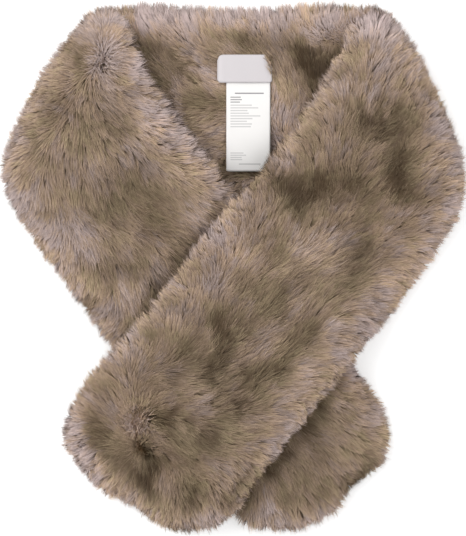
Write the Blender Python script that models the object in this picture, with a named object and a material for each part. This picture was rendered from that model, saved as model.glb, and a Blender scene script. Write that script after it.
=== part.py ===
"""A faux fur collar wrap, laid flat with its two ends crossed.

The wrap is one long band of faux fur, sewn as a tube with the pile outside on both
faces. It lies on a table: the back stretch runs from shoulder to shoulder, the band
folds over at each shoulder, and the two fronts come down over the back. The front that
starts on the left passes under the one that starts on the right, so their ends point
down and out. A neck label and a care label lie on the back's upper face.

Every stretch is a padded layer as high as the fur stands. Its outline comes from a
short table of sections, each a line across the band from its neck edge to its outer
edge, and its underside settles on whatever lies below it.

Frame: +X to the right, +Y towards the back of the neck, +Z up from the table. The
origin is on the table, at the centre of the wrap's length and width. Sizes and tables
are in millimetres, and the tables' own zero is a little in front of that centre.
"""

from collections import namedtuple

import bmesh
import bpy
import numpy as np

MM = 0.001

# The band.
BAND_LOFT = 30.0  # height of one layer of the band, with the fur of both faces
EDGE_ROUND = 26.0  # how far in from an edge a layer reaches its full height
FREE_EDGE_SEAT = 0.42  # height of a free edge's widest line, as a share of the loft
SEAM_GAP = 0.3  # between two stretches, and between a label and the fur
FOLD_BULGE = 10.0  # how far a shoulder fold bows out beyond a straight line
FOLD_REACH = 36.0  # how far along an edge the shoulder fold's own shape lasts

# The settling of a layer on those below it.
SETTLE_CELL = 3.0  # spacing of the height field
SETTLE_MARGIN = 3  # cells of the height field beyond the outline
CLEAR_CELLS = 2  # keeps a layer clear of those below between the cells
FALL_LENGTH = 36.0  # distance in which a free stretch comes down by one loft
DRAPE_CELLS = 22  # reach of the fall, in cells
BEND_ROUNDS = 20  # how gently the band bends

# The mesh.
ACROSS_COUNT = 20  # cells from neck edge to outer edge
ALONG_SPACING = 10.0
END_SPACINGS = (1.2, 3.4, 5.6, 7.2, 9.0)  # cells next to each end, outermost first
OUTLINE_STEPS = 60  # points on each side of an outline
SAME_PLACE = 0.01  # points closer than this are one
SHARP_ANGLE = 60.0  # an edge that turns more than this shows as an edge
WALK_STEPS = 400  # points that measure the length along a stretch

# The labels.
LABEL_THICKNESS = 1.0
NECK_LABEL_SIZE = (45.0, 23.0)
NECK_LABEL_CENTRE = (9.5, 162.5)
CARE_LABEL_SIZE = (36.0, 76.0)
CARE_LABEL_CENTRE = (12.5, 116.5)
LABEL_CELL = 4.5
LABEL_COLUMNS = 5

# A line across the band, from its neck edge to its outer edge.
Section = namedtuple("Section", "neck_x neck_y outer_x outer_y")

BACK_SECTIONS = (  # from the left shoulder fold to the right one
    Section(-114, 212, -191, 81),
    Section(-93, 214, -163, 63),
    Section(-60, 215, -109, 57),
    Section(-23, 213, -45, 55),
    Section(10, 212, 10, 55),
    Section(43, 213, 59, 55),
    Section(75, 215, 112, 57),
    Section(102, 214, 162, 61),
    Section(125, 212, 191, 75),
)
UNDER_SECTIONS = (  # from the left shoulder fold to the end on the right
    Section(-114, 212, -191, 81),
    Section(-91, 207, -184, 52),
    Section(-74, 171, -166, 22),
    Section(-55, 139, -142, -11),
    Section(-30, 106, -117, -45),
    Section(-3, 70, -94, -78),
    Section(24, 32, -70, -111),
    Section(52, -6, -43, -145),
    Section(78, -43, -22, -176),
    Section(102, -78, -4, -198),
    Section(121, -106, 13, -212),
    Section(130, -134, 37, -218),
    Section(126, -155, 65, -212),
    Section(114, -172, 86, -198),
)
OVER_SECTIONS = (  # from the right shoulder fold to the end on the left
    Section(125, 212, 191, 75),
    Section(98, 203, 187, 43),
    Section(80, 168, 172, 16),
    Section(61, 134, 152, -13),
    Section(36, 98, 127, -45),
    Section(4, 63, 102, -77),
    Section(-30, 22, 77, -109),
    Section(-66, -29, 50, -142),
    Section(-102, -70, 25, -175),
    Section(-127, -99, 9, -198),
    Section(-140, -130, -9, -212),
    Section(-134, -157, -34, -218),
    Section(-109, -180, -60, -213),
    Section(-92, -193, -75, -204),
)

# A soft trough in a layer's upper face, or a swell where the depth is negative. The
# angle is that of its length, in degrees from +X.
Crease = namedtuple("Crease", "x y angle length width depth")

BACK_CREASES = (
    Crease(2, 74, 0, 80, 26, 11.0),  # pressed by the two fronts
    Crease(64, 168, -50, 18, 13, 8.0),
    Crease(-67, 174, -45, 20, 10, 6.5),
    Crease(-54, 146, -60, 18, 9, 5.0),
    Crease(8, 186, 0, 16, 7, 3.5),
    Crease(-20, 134, 0, 14, 7, 3.0),
    Crease(-34, 160, 10, 14, 8, -2.0),
)
UNDER_CREASES = (
    Crease(2, 16, 92, 76, 44, 10.0),  # pressed by the front above
    Crease(-122, 164, -60, 18, 10, 3.5),
    Crease(-165, 74, -74, 18, 10, 3.5),
    Crease(-118, 92, -58, 34, 12, -2.5),
    Crease(-69, 34, -30, 22, 10, 4.5),
    Crease(-94, 0, 65, 24, 10, 4.0),
    Crease(-64, -12, 24, 18, 9, 4.0),
    Crease(-92, 60, -56, 40, 12, 3.0),
    Crease(66, -150, 44, 40, 12, 4.0),
    Crease(96, -128, 40, 34, 12, -3.0),
)
OVER_CREASES = (
    Crease(114, 121, 4, 21, 10, 6.0),
    Crease(134, 80, -70, 20, 12, 6.0),
    Crease(101, 101, -39, 18, 10, -2.5),
    Crease(60, 63, -6, 34, 11, 7.5),
    Crease(107, 22, 80, 22, 9, 6.0),
    Crease(34, -33, 80, 18, 9, 3.5),
    Crease(62, -52, 44, 28, 9, 5.5),
    Crease(28, -89, 20, 18, 9, 4.5),
    Crease(-13, -62, -80, 26, 10, 5.0),
    Crease(-41, -69, 60, 18, 9, 4.0),
    Crease(5, -115, 12, 20, 8, 4.5),
    Crease(-29, -106, -18, 20, 8, -3.0),
    Crease(-54, -122, -20, 20, 8, 5.0),
    Crease(-108, -138, -55, 24, 9, 5.5),
    Crease(-69, -160, -75, 24, 10, 7.0),
    Crease(-52, -174, 65, 16, 9, -4.0),
    Crease(-36, -187, 70, 15, 8, 4.0),
)


def through(rows, at):
    """Points of a smooth curve through the rows of a table; at counts rows."""
    first = np.clip(np.floor(at).astype(int), 0, len(rows) - 2)
    share = (at - first)[:, None]
    before = rows[np.maximum(first - 1, 0)]
    start, end = rows[first], rows[first + 1]
    after = rows[np.minimum(first + 2, len(rows) - 1)]
    return 0.5 * (
        2 * start
        + (end - before) * share
        + (2 * before - 5 * start + 4 * end - after) * share**2
        + (3 * start - before - 3 * end + after) * share**3
    )


def middles(edges):
    """The middle of each section, where a row is (neck x, neck y, outer x, outer y)."""
    return (edges[:, :2] + edges[:, 2:]) / 2


def lengths_along(points):
    steps = np.linalg.norm(np.diff(points, axis=0), axis=1)
    return np.concatenate([[0.0], np.cumsum(steps)])


def smooth_step(share):
    share = np.clip(share, 0, 1)
    return share * share * (3 - 2 * share)


def rounded(distance):
    """Share of the full height that a half-round edge has at a distance from it."""
    share = np.clip(distance / EDGE_ROUND, 0, 1)
    return np.sqrt(1 - (1 - share) ** 2)


def distance_to_line(points, line):
    """Distance from each point to the nearest place on a line of short pieces."""
    start, piece = line[:-1], np.diff(line, axis=0)
    away = points[:, None, :] - start[None]
    long = np.maximum((piece**2).sum(1), 1e-12)
    share = np.clip((away * piece).sum(2) / long, 0, 1)
    return np.linalg.norm(away - share[..., None] * piece, axis=2).min(1)


def is_inside(points, ring):
    """True for each point inside a closed ring."""
    x, y = points[:, 0, None], points[:, 1, None]
    ax, ay = ring[:-1, 0], ring[:-1, 1]
    bx, by = ring[1:, 0], ring[1:, 1]
    spans = (ay > y) != (by > y)
    rise = np.where(by == ay, 1e-12, by - ay)
    crossed = spans & (x < ax + (y - ay) * (bx - ax) / rise)
    return crossed.sum(1) % 2 == 1


class Stretch:
    """One stretch of the band: its outline, and the heights of its two faces."""

    def __init__(self, name, sections, creases, folds, fold_seat):
        """folds holds the row of each section that is a shoulder fold, 0 or -1.
        fold_seat is 1 where the fold turns up from this layer, and 0 where it comes
        down on it."""
        self.name = name
        self.sections = np.array(sections, float)
        self.creases = creases
        self.folds = folds
        self.fold_seat = fold_seat
        self.rows = np.linspace(0, len(sections) - 1, WALK_STEPS)
        self.walked = lengths_along(middles(through(self.sections, self.rows)))
        at = np.linspace(0, len(sections) - 1, OUTLINE_STEPS)
        sides = self.plan(at, np.array([-1.0, 1.0]))
        across = np.linspace(-1, 1, OUTLINE_STEPS)
        ends = self.plan(self.rows[[0, -1]], across)
        self.ring = np.concatenate([sides[:, 0], ends[1], sides[::-1, 1], ends[0, ::-1]])
        self.fold_lines = [ends[fold] for fold in folds]
        self.low = self.ring.min(0) - SETTLE_MARGIN * SETTLE_CELL
        reach = np.ptp(self.ring, axis=0) / SETTLE_CELL
        self.shape = np.ceil(reach).astype(int) + 2 * SETTLE_MARGIN + 1
        self.floor = np.zeros(self.shape)

    def plan(self, at, across):
        """Places in the plan, for sections counted in rows and for -1 to 1 across. Next
        to a shoulder fold they bow out, the most on the fold itself."""
        edges = through(self.sections, at)
        half = (edges[:, 2:] - edges[:, :2]) / 2
        places = middles(edges)[:, None] + half[:, None] * across[None, :, None]
        for fold in self.folds:
            from_fold = np.abs(np.interp(at, self.rows, self.walked) - self.walked[fold])
            bow = np.exp(-((from_fold / FOLD_REACH) ** 2))[:, None] * (1 - across**2)
            places = places + FOLD_BULGE * bow[..., None] * self.outward(fold)
        return places

    def outward(self, fold):
        """The direction in the plan that points straight out of a shoulder fold."""
        neck_x, neck_y, outer_x, outer_y = self.sections[fold]
        direction = np.array([neck_y - outer_y, outer_x - neck_x])
        direction /= np.linalg.norm(direction)
        own, next_one = middles(self.sections[[fold, 1 if fold == 0 else -2]])
        return direction * np.sign(direction @ (own - next_one))

    def stations(self):
        """Where the mesh has its sections: closer together next to each end."""
        total = self.walked[-1]
        end = np.cumsum((0.0,) + END_SPACINGS)
        count = round((total - 2 * end[-1]) / ALONG_SPACING)
        inner = np.linspace(end[-1], total - end[-1], count + 1)
        at = np.concatenate([end[:-1], inner, total - end[:-1][::-1]])
        return np.interp(at, self.walked, self.rows)

    def seat(self, points):
        """Height of the edge's widest line at each point, as a share of the loft."""
        near = np.full(len(points), np.inf)
        for line in self.fold_lines:
            near = np.minimum(near, distance_to_line(points, line))
        blend = smooth_step(1 - near / FOLD_REACH)
        return FREE_EDGE_SEAT + (self.fold_seat - FREE_EDGE_SEAT) * blend

    def floor_at(self, points):
        """Height of what the layer lies on, between the height field's cells."""
        place = (points - self.low) / SETTLE_CELL
        cell = np.clip(np.floor(place).astype(int), 0, self.shape - 2)
        i, j = cell.T
        u, v = (place - cell).T
        return (
            self.floor[i, j] * (1 - u) * (1 - v)
            + self.floor[i + 1, j] * u * (1 - v)
            + self.floor[i, j + 1] * (1 - u) * v
            + self.floor[i + 1, j + 1] * u * v
        )

    def faces_at(self, points):
        """(height of the underside, height of the upper face) at each point."""
        full = rounded(distance_to_line(points, self.ring))
        seat, floor = self.seat(points), self.floor_at(points)
        under = floor + BAND_LOFT * seat * (1 - full)
        upper = floor + BAND_LOFT * (seat + (1 - seat) * full)
        for crease in self.creases:
            turn = np.radians(crease.angle)
            away = points - (crease.x, crease.y)
            along = away @ (np.cos(turn), np.sin(turn)) / crease.length
            aside = away @ (-np.sin(turn), np.cos(turn)) / crease.width
            upper -= crease.depth * full**2 * np.exp(-(along**2) - aside**2)
        return under, upper

    def settle_on(self, below):
        """Lays this stretch on those below it: it rests where they hold it up, and
        falls to the table beyond them."""
        i, j = np.indices(self.shape)
        cells = np.stack([i, j], -1).reshape(-1, 2) * SETTLE_CELL + self.low
        ground = np.zeros(len(cells))
        for layer in below:
            held = is_inside(cells, layer.ring)
            top = layer.faces_at(cells[held])[1] + SEAM_GAP
            ground[held] = np.maximum(ground[held], top)
        self.floor = draped(ground.reshape(self.shape))


def draped(ground):
    """The height of a thick cloth laid on a height field. It falls away from what
    holds it up in parabolas, bends gently, and is nowhere below the field."""
    held = np.pad(ground, DRAPE_CELLS, mode="constant")
    for axis in (0, 1) * CLEAR_CELLS:
        beside = np.maximum(np.roll(held, 1, axis), np.roll(held, -1, axis))
        held = np.maximum(held, beside)
    height = held
    for axis in (0, 1):
        fallen = []
        for shift in range(-DRAPE_CELLS, DRAPE_CELLS + 1):
            fall = BAND_LOFT * (shift * SETTLE_CELL / FALL_LENGTH) ** 2
            fallen.append(np.roll(height, shift, axis) - fall)
        height = np.max(fallen, axis=0)
    for axis in (0, 1) * BEND_ROUNDS:
        beside = np.roll(height, 1, axis) + np.roll(height, -1, axis)
        height = np.maximum(held, height / 3 + beside / 3)
    return height[DRAPE_CELLS:-DRAPE_CELLS, DRAPE_CELLS:-DRAPE_CELLS]


def make_material(name, colour, roughness):
    material = bpy.data.materials.new(name)
    material.use_nodes = True
    surface = material.node_tree.nodes["Principled BSDF"]
    surface.inputs["Base Color"].default_value = (*colour, 1.0)
    surface.inputs["Roughness"].default_value = roughness
    return material


def make_solid(name, upper, under, material):
    """A closed solid between two grids of points with the same rows and columns. A wall
    joins their rims, and closes up where the rims already meet."""
    rows, columns = upper.shape[:2]
    model = bmesh.new()
    top, bottom = (
        [[model.verts.new(point * MM) for point in row] for row in grid]
        for grid in (upper, under)
    )
    for grid in (top, bottom):
        for i in range(rows - 1):
            for j in range(columns - 1):
                corners = (grid[i][j], grid[i + 1][j], grid[i + 1][j + 1], grid[i][j + 1])
                model.faces.new(corners)
    rim = [(i, 0) for i in range(rows)]
    rim += [(rows - 1, j) for j in range(1, columns)]
    rim += [(i, columns - 1) for i in range(rows - 2, -1, -1)]
    rim += [(0, j) for j in range(columns - 2, 0, -1)]
    for (i, j), (k, m) in zip(rim, rim[1:] + rim[:1]):
        model.faces.new((top[i][j], top[k][m], bottom[k][m], bottom[i][j]))
    bmesh.ops.remove_doubles(model, verts=model.verts, dist=SAME_PLACE * MM)
    bmesh.ops.recalc_face_normals(model, faces=model.faces)
    if model.calc_volume(signed=True) < 0:
        bmesh.ops.reverse_faces(model, faces=model.faces)
    mesh = bpy.data.meshes.new(name)
    model.to_mesh(mesh)
    model.free()
    mesh.materials.append(material)
    mesh.shade_smooth()
    mesh.set_sharp_from_angle(angle=np.radians(SHARP_ANGLE))
    solid = bpy.data.objects.new(name, mesh)
    bpy.context.scene.collection.objects.link(solid)


def make_stretch(stretch, material):
    across = np.sin(np.linspace(-np.pi / 2, np.pi / 2, ACROSS_COUNT + 1))
    plan = stretch.plan(stretch.stations(), across)
    under, upper = stretch.faces_at(plan.reshape(-1, 2))
    rim = np.ones(plan.shape[:2], bool)
    rim[1:-1, 1:-1] = False
    upper = np.where(rim, (upper + under).reshape(rim.shape) / 2, upper.reshape(rim.shape))
    under = np.where(rim, upper, under.reshape(rim.shape))
    make_solid(
        stretch.name,
        np.dstack([plan, upper]),
        np.dstack([plan, under]),
        material,
    )


def lay_label(centre, size, back):
    """The plan of a label on the back's fur, and the height of each of its rows. It
    bends only along its longer side, over the highest fur under each row."""
    longer = int(size[1] > size[0])
    half = np.array(size) / 2
    steps = np.linspace(-half[longer], half[longer], round(size[longer] / LABEL_CELL) + 1)
    across = np.linspace(-half[1 - longer], half[1 - longer], LABEL_COLUMNS)
    plan = np.zeros((len(steps), len(across), 2))
    plan[..., longer] = steps[:, None] + centre[longer]
    plan[..., 1 - longer] = across[None] + centre[1 - longer]
    height = np.zeros(len(steps))
    for shift in np.linspace(-ALONG_SPACING, ALONG_SPACING, LABEL_COLUMNS):
        strip = plan.copy()
        strip[..., longer] += shift
        fur = back.faces_at(strip.reshape(-1, 2))[1].reshape(plan.shape[:2])
        height = np.maximum(height, fur.max(1))
    return plan, height + SEAM_GAP


def make_label(name, plan, height, material):
    under = np.repeat(height[:, None], plan.shape[1], axis=1)
    make_solid(
        name,
        np.dstack([plan, under + LABEL_THICKNESS]),
        np.dstack([plan, under]),
        material,
    )


def make_labels(back, material):
    """The neck label lies over the top of the care label, which hangs from under it."""
    care_plan, care_height = lay_label(CARE_LABEL_CENTRE, CARE_LABEL_SIZE, back)
    neck_plan, neck_height = lay_label(NECK_LABEL_CENTRE, NECK_LABEL_SIZE, back)
    over_care = care_height.max() + LABEL_THICKNESS + SEAM_GAP
    from_middle = np.abs(neck_plan[:, 0, 0] - CARE_LABEL_CENTRE[0])
    beyond = (from_middle - CARE_LABEL_SIZE[0] / 2) / LABEL_CELL
    neck_height += (over_care - neck_height) * smooth_step(1.7 - beyond)
    make_label("care_label", care_plan, care_height, material)
    make_label("neck_label", neck_plan, neck_height, material)


def main():
    for leftover in list(bpy.data.objects):
        bpy.data.objects.remove(leftover)
    fur = make_material("faux_fur", (0.225, 0.165, 0.122), 0.85)
    satin = make_material("label_satin", (0.80, 0.79, 0.78), 0.45)
    back = Stretch("back_stretch", BACK_SECTIONS, BACK_CREASES, (0, -1), 1.0)
    under = Stretch("under_front", UNDER_SECTIONS, UNDER_CREASES, (0,), 0.0)
    over = Stretch("over_front", OVER_SECTIONS, OVER_CREASES, (0,), 0.0)
    under.settle_on([back])
    over.settle_on([back, under])
    for stretch in (back, under, over):
        make_stretch(stretch, fur)
    make_labels(back, satin)
    outlines = np.concatenate([back.ring, under.ring, over.ring])
    middle = (outlines.min(0) + outlines.max(0)) / 2 * MM
    for solid in bpy.data.objects:
        solid.location = (-middle[0], -middle[1], 0.0)


main()
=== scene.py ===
"""A faux fur collar wrap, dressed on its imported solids.

The wrap is a tube of knitted backing cloth with a long pile on its whole outside. Each
stretch of the band gets a backing tube inside its solid, and three coats of pile on it:
dense short underfur, longer guard hair, and sparse long hair. The pile is combed by
tables of strokes, gathers in small tufts and larger locks, and parts over the hollows of
the cloth. Two satin labels lie inside the neck, one bare and one with plain bars for its
print. The tables of strokes, patches and trims are in millimetres, in the frame of the
solids. Other lengths are in metres, unless a comment says that they are millimetres.
"""

import math
from collections import namedtuple
from functools import partial

import bmesh
import bpy
import numpy as np
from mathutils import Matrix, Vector
from mathutils.bvhtree import BVHTree
from mathutils.kdtree import KDTree


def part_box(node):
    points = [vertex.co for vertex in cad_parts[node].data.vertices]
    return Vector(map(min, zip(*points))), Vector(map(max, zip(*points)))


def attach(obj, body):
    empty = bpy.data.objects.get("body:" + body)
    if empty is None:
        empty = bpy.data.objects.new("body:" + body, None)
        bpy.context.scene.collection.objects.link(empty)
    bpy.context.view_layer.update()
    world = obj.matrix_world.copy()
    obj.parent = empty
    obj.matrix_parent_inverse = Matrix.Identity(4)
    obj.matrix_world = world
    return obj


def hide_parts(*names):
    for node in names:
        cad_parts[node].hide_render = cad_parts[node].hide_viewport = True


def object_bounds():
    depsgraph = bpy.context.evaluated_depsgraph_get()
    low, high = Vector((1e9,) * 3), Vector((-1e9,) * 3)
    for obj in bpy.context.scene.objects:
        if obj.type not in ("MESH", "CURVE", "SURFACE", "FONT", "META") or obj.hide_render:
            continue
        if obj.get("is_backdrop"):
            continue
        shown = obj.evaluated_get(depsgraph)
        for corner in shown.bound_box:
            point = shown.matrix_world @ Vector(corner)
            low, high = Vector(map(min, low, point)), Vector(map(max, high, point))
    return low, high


bl_info = {
    "name": "Fur Collar Wrap",
    "version": (1, 0, 0),
    "blender": (4, 5, 0),
    "location": "View3D > Sidebar > Wrap",
    "description": "Dresses the collar wrap's solids in backing cloth, fur and labels",
    "category": "Object",
}

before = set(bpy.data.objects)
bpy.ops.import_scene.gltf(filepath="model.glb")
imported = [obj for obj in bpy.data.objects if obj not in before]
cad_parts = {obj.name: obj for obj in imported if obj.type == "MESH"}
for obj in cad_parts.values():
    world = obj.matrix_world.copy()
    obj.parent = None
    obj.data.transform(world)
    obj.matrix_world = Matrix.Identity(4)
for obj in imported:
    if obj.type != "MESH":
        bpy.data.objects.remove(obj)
CAD_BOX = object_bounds()

MM = 0.001
BODY = "root"
SAME_PLACE = 0.02 * MM  # corners closer than this are one
STRAND_MAP = "OFBake"  # the UV map that carries a strand's hue and its length, with painted shade and painted light mixed into both

# The strokes of the comb. Each has its x and y, the direction that the pile's tips point
# in there, in degrees from +X, and where it isn't 1, how firm it is. At 0 the pile stands.

BACK_STROKES = (
    (-68, 202, 132), (-31, 202, 135), (6, 204, 118), (47, 204, 112), (84, 206, 108),
    (-60, 184, 152), (-15, 186, 146), (24, 186, 140), (55, 184, 133), (80, 179, 135),
    (-56, 159, 165), (-27, 163, 160), (-27, 134, 170), (-23, 110, 185), (-15, 85, 175),
    (6, 69, 150), (43, 159, 100), (40, 134, 75), (43, 110, 110), (63, 151, 130), (38, 170, 150),
    (42, 155, 140),
)
UNDER_STROKES = (
    (-103, 180, 0, 0), (-104, 190, 90, 0.1), (-108, 168, 250, 0.2), (-111, 196, 150),
    (-125, 179, 165), (-140, 156, 190), (-113, 170, 222), (-122, 148, 245), (-102, 161, 290),
    (-93, 181, 335), (-154, 126, 215), (-168, 97, 222), (-176, 71, 235), (-160, 52, 262),
    (-142, 24, 262), (-127, -5, 250), (-111, -27, 235), (-94, -46, 238), (-132, 129, 255),
    (-140, 97, 268), (-140, 65, 278), (-106, 142, 305), (-80, 151, 338), (-56, 130, 344),
    (-31, 97, 342), (-9, 69, 345), (-109, 114, 303), (-76, 114, 318), (-93, 81, 305),
    (-56, 77, 318), (-121, 36, 288), (-84, 44, 314), (-48, 40, 315), (-105, 3, 292),
    (-72, 3, 305), (-39, 15, 318), (-84, -26, 300), (100, -75, 330), (116, -103, 325),
    (127, -128, 330), (114, -161, 315), (92, -185, 320), (63, -202, 295), (30, -208, 280),
    (80, -108, 318), (92, -140, 312), (63, -157, 302), (47, -185, 300), (18, -190, 275),
    (10, -200, 258),
)
OVER_STROKES = (
    (-78, -112, 0, 0), (-80, -127, 0, 0.1), (-67, -153, 0, 0), (-68, -163, 270, 0.3),
    (92, 192, 112), (122, 200, 92), (147, 171, 66), (171, 130, 55), (188, 85, 38),
    (184, 52, 28), (166, 28, 15), (141, -5, 8), (116, -38, 0), (96, -62, 352), (84, -87, 332),
    (73, 155, 118), (55, 130, 120), (43, 97, 112), (24, 65, 108), (-1, 36, 98), (-23, 11, 104),
    (-48, -17, 108), (-72, -40, 112), (-91, -60, 118), (116, 155, 78), (96, 122, 84),
    (137, 114, 56), (80, 89, 78), (121, 65, 56), (153, 81, 48), (55, 56, 74), (96, 32, 52),
    (137, 32, 42), (26, 32, 70), (55, -1, 50), (96, -13, 44), (2, -5, 62), (-35, -34, 62),
    (18, -42, 50), (63, -50, 46), (-15, -67, 56), (26, -87, 46), (-56, -58, 82), (-7, -95, 40),
    (55, -91, 28), (71, -103, 345), (51, -120, 335), (30, -109, 38), (-68, -76, 42),
    (-68, -95, 32), (-55, -95, 342), (-35, -99, 16), (-68, -114, 18, 0.5), (-50, -116, 352),
    (-35, -116, 350), (-15, -114, 8), (6, -116, 22), (-68, -132, 20, 0.5), (-55, -134, 358),
    (-35, -134, 350), (-15, -132, 2), (10, -134, 12), (34, -132, 345), (-53, -150, 356),
    (-35, -150, 345), (-17, -150, 350), (2, -150, 356), (20, -153, 338), (-94, -79, 116),
    (-89, -96, 112), (-105, -95, 122), (-121, -103, 150), (-89, -114, 116, 0.5),
    (-99, -114, 128), (-111, -116, 138), (-88, -132, 128, 0.5), (-99, -132, 142),
    (-111, -134, 156), (-138, -131, 178), (-99, -150, 180), (-135, -153, 195), (-93, -168, 216),
    (-112, -167, 222), (-94, -183, 240), (-68, -198, 262), (-35, -208, 280), (-11, -204, 300),
    (14, -181, 312), (39, -153, 318), (-68, -168, 285), (-57, -168, 232), (-57, -183, 268),
    (-35, -168, 333), (-37, -186, 318), (-15, -173, 328), (6, -161, 325),
)

# The patches of pile that shows its pale tips, where its shade is above zero, or its dark
# roots, where it is below. These tones are partly painted light: the pale patches also stand
# for places where light falls, and the dark ones for painted shade in hollows, in crevices
# between the layers of the band and in shadows that one layer casts on another. Each has its
# x, its y, its radius and its shade. A trim is the same for the pile's length, as a share
# that is added to it or taken from it.

BACK_PATCHES = (
    (-72, 205, 14, 0.66), (-37, 206, 13, 0.46), (-4, 206, 14, 0.46), (26, 205, 11, 0.42),
    (57, 205, 12, 0.4), (80, 204, 12, 0.38), (-50, 172, 8, -0.37), (-42, 160, 9, -0.33),
    (10, 184, 10, -0.38), (62, 169, 11, -0.4), (71, 157, 12, -0.6), (84, 166, 11, -0.56),
    (89, 180, 10, -0.33), (38, 120, 11, 0.43), (-20, 158, 11, 0.32), (18, 80, 9, -0.45),
    (1, 74, 7, -0.26), (76, 160, 9, -0.45), (64, 160, 10, -0.22), (38, 138, 9, 0.42),
    (40, 94, 10, 0.6), (26, 183, 9, -0.2), (46, 182, 9, -0.26), (-8, 136, 7, -0.3),
    (-17, 170, 8, -0.26), (-38, 188, 12, 0.22), (42, 204, 9, 0.18), (-5, 108, 8, 0.18),
    (-56, 207, 10, 0.22),
)
UNDER_PATCHES = (
    (-106, 172, 14, 0.2), (-106, 204, 12, 0.06), (-60, 120, 17, 0.54), (-74, 164, 11, 0.64),
    (-122, 177, 9, -0.26), (-134, 178, 9, -0.24), (-150, 138, 11, -0.26),
    (-146, 122, 13, -0.21), (-160, 82, 13, -0.08), (-174, 60, 11, 0.22), (-166, 36, 11, 0.22),
    (-140, 25, 21, 0.54), (-117, 20, 15, 0.37), (-84, 72, 15, -0.26), (-98, 50, 13, -0.18),
    (-66, 50, 14, -0.27), (-63, 12, 12, 0.37), (-93, -14, 12, 0.39), (-39, 83, 11, 0.38),
    (-28, 46, 11, 0.28), (-48, 24, 9, 0.28), (-120, -30, 9, -0.39), (-71, -42, 10, -0.38),
    (2, -194, 9, -0.5), (9, -182, 9, -0.42), (27, -165, 9, -0.65), (42, -150, 10, -0.56),
    (58, -132, 11, -0.52), (73, -111, 10, -0.39), (88, -90, 9, -0.28), (24, -146, 9, -0.26),
    (103, -178, 12, -0.74), (71, -180, 11, -0.28), (112, -156, 10, -0.18), (99, -88, 10, 0.4),
    (84, -111, 8, 0.28), (27, -194, 7, 0.38), (-112, 160, 10, 0.16), (-116, 50, 12, -0.17),
    (-118, 118, 12, -0.16), (-168, 108, 12, -0.13), (-117, 173, 8, -0.32), (-86, 206, 12, 0.42),
    (38, -190, 9, -0.26), (-88, 24, 11, 0.22), (-38, 102, 10, 0.22), (-109, 146, 9, 0.18),
    (-76, -17, 9, 0.2), (-90, -33, 10, 0.2), (112, -164, 10, -0.28), (-150, 48, 9, -0.22),
    (-90, 114, 9, -0.26), (-62, 36, 9, 0.14), (-84, 97, 9, 0.17), (-158, 26, 9, 0.18),
    (-96, 194, 8, -0.15), (116, -112, 9, -0.14),
)
OVER_PATCHES = (
    (119, 202, 18, 0.5), (98, 183, 9, -0.26), (104, 134, 13, 0.32), (71, 24, 20, 0.54),
    (53, 15, 10, 0.18), (2, 12, 16, 0.59), (-14, 6, 10, 0.15), (158, 28, 20, 0.38),
    (137, 10, 16, 0.26), (116, -17, 16, 0.41), (109, -52, 12, 0.36), (80, -70, 11, 0.14),
    (-130, -127, 10, 0.37), (-129, -152, 10, 0.41), (-112, -175, 10, 0.36),
    (113, 109, 11, -0.32), (128, 106, 10, -0.22), (142, 114, 10, -0.22), (144, 100, 9, -0.13),
    (131, 86, 12, -0.39), (136, 70, 12, -0.5), (124, 74, 10, -0.19), (144, 62, 9, -0.39),
    (48, 57, 11, -0.65), (64, 60, 10, -0.44), (79, 62, 11, -0.32), (84, 78, 11, -0.39),
    (100, 71, 10, -0.39), (62, 112, 13, -0.2), (88, -14, 12, -0.35), (121, 33, 12, 0.41),
    (94, 14, 9, -0.12), (42, 33, 11, 0.11), (24, 1, 10, 0.28), (22, -24, 10, -0.26),
    (0, -32, 9, -0.24), (12, -48, 10, -0.39), (26, -40, 9, -0.13), (42, -46, 12, -0.26),
    (0, -54, 10, -0.19), (-16, -48, 10, -0.31), (-17, -78, 12, -0.52), (9, -80, 9, -0.26),
    (14, -91, 11, -0.26), (34, -86, 10, -0.24), (47, -62, 10, -0.2), (-43, -75, 12, -0.18),
    (-61, -82, 13, -0.18), (-104, -98, 10, -0.26), (-76, -97, 10, -0.15), (-50, -98, 10, -0.21),
    (-55, -119, 10, -0.44), (-52, -134, 10, -0.24), (-24, -140, 12, -0.3), (2, -112, 11, -0.26),
    (-84, -151, 9, -0.26), (-62, -156, 9, -0.45), (-70, -172, 10, -0.5), (-38, -170, 12, -0.31),
    (-12, -138, 11, -0.25), (-24, -160, 11, -0.13), (-60, -186, 10, -0.19), (22, -72, 8, 0.11),
    (104, 119, 11, -0.48), (-18, -96, 11, -0.3), (-46, -134, 9, -0.1), (-76, -142, 9, 0.38),
    (-1, -190, 9, -0.34), (-110, -160, 9, 0.26), (-102, -78, 9, -0.2), (126, 119, 10, -0.32),
    (86, 110, 9, -0.14), (56, -11, 9, -0.28), (180, 52, 11, 0.3), (170, 116, 10, 0.22),
    (128, 188, 10, 0.1), (88, 161, 9, -0.3), (13, 75, 9, -0.28), (29, 75, 8, -0.35),
    (10, 66, 8, -0.12), (55, -80, 11, 0.2), (81, -46, 11, 0.2), (108, 36, 10, 0.2),
    (139, 50, 10, 0.2), (-36, -58, 10, 0.18), (-19, -12, 10, 0.2), (-106, -141, 9, 0.1),
    (-50, -26, 8, -0.24), (-68, -53, 8, -0.24), (8, -178, 8, -0.22), (18, -168, 8, -0.18),
    (152, 122, 10, -0.22), (-84, -108, 9, -0.1), (-46, -150, 9, -0.2), (112, 204, 10, 0.46),
    (120, 168, 12, 0.18), (106, 170, 10, 0.13), (-46, -204, 12, 0.08), (-76, -124, 9, 0.3),
    (-18, -106, 9, 0.14), (-119, -110, 10, 0.18), (160, 82, 10, 0.18), (-20, -184, 10, -0.18),
    (-61, -138, 8, 0.2), (78, 173, 9, 0.18), (-16, -201, 9, 0.18), (102, 206, 9, 0.18),
)
BACK_TRIMS = (
    (-66, 202, 22, 0.18), (-28, 202, 22, 0.18), (12, 202, 22, 0.18), (52, 202, 22, 0.18),
    (88, 202, 22, 0.14), (160, 136, 25, -0.14), (-158, 134, 25, -0.1),
)
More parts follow.
